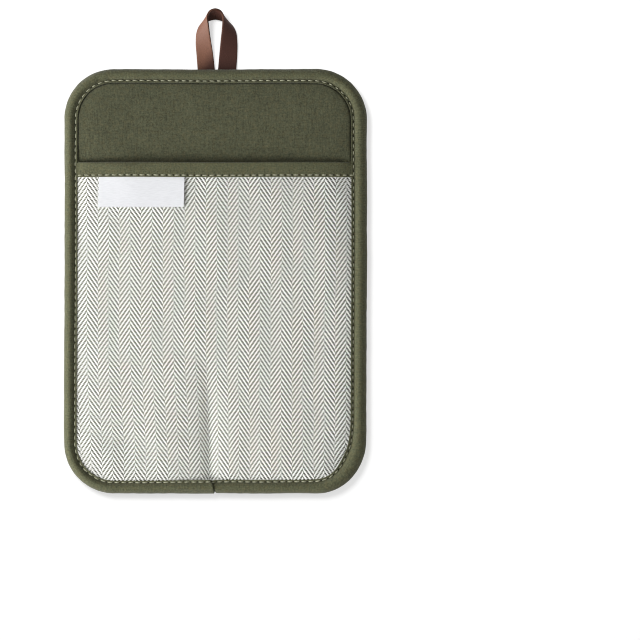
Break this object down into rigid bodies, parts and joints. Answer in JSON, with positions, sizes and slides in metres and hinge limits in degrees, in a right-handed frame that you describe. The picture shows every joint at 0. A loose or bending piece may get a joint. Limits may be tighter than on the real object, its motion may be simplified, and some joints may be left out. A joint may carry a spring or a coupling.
{
  "type": "pot holder",
  "caption": "Flat padded pot holder with a hand pocket on its cotton front, a ribbed silicone back, a bound edge and a leather hanging loop.",
  "frame": {"origin": "middle of the pad's ribbed back, on the crest of a rib, where it touches the table", "axes": "+Z out of the pocket side, +Y along the pad towards the hanging loop, +X to the right of the pocket seen from above"},
  "size_m": [0.1814, 0.2919, 0.0161],
  "materials": {
    "olive_cotton": "matt olive cotton twill",
    "olive_tape": "matt olive cotton tape",
    "herringbone": "off-white and grey-green herringbone cotton",
    "silicone": "satin olive silicone",
    "leather": "brown leather, smooth outside and napped inside",
    "satin": "white woven satin, blank"
  },
  "bodies": {
    "root": {"front_pad": "olive_cotton", "silicone_back": "silicone", "pocket": "herringbone", "pocket_binding": "olive_tape", "edge_binding": "olive_tape", "hanging_loop": "leather", "label": "satin"}
  },
  "joints": []
}
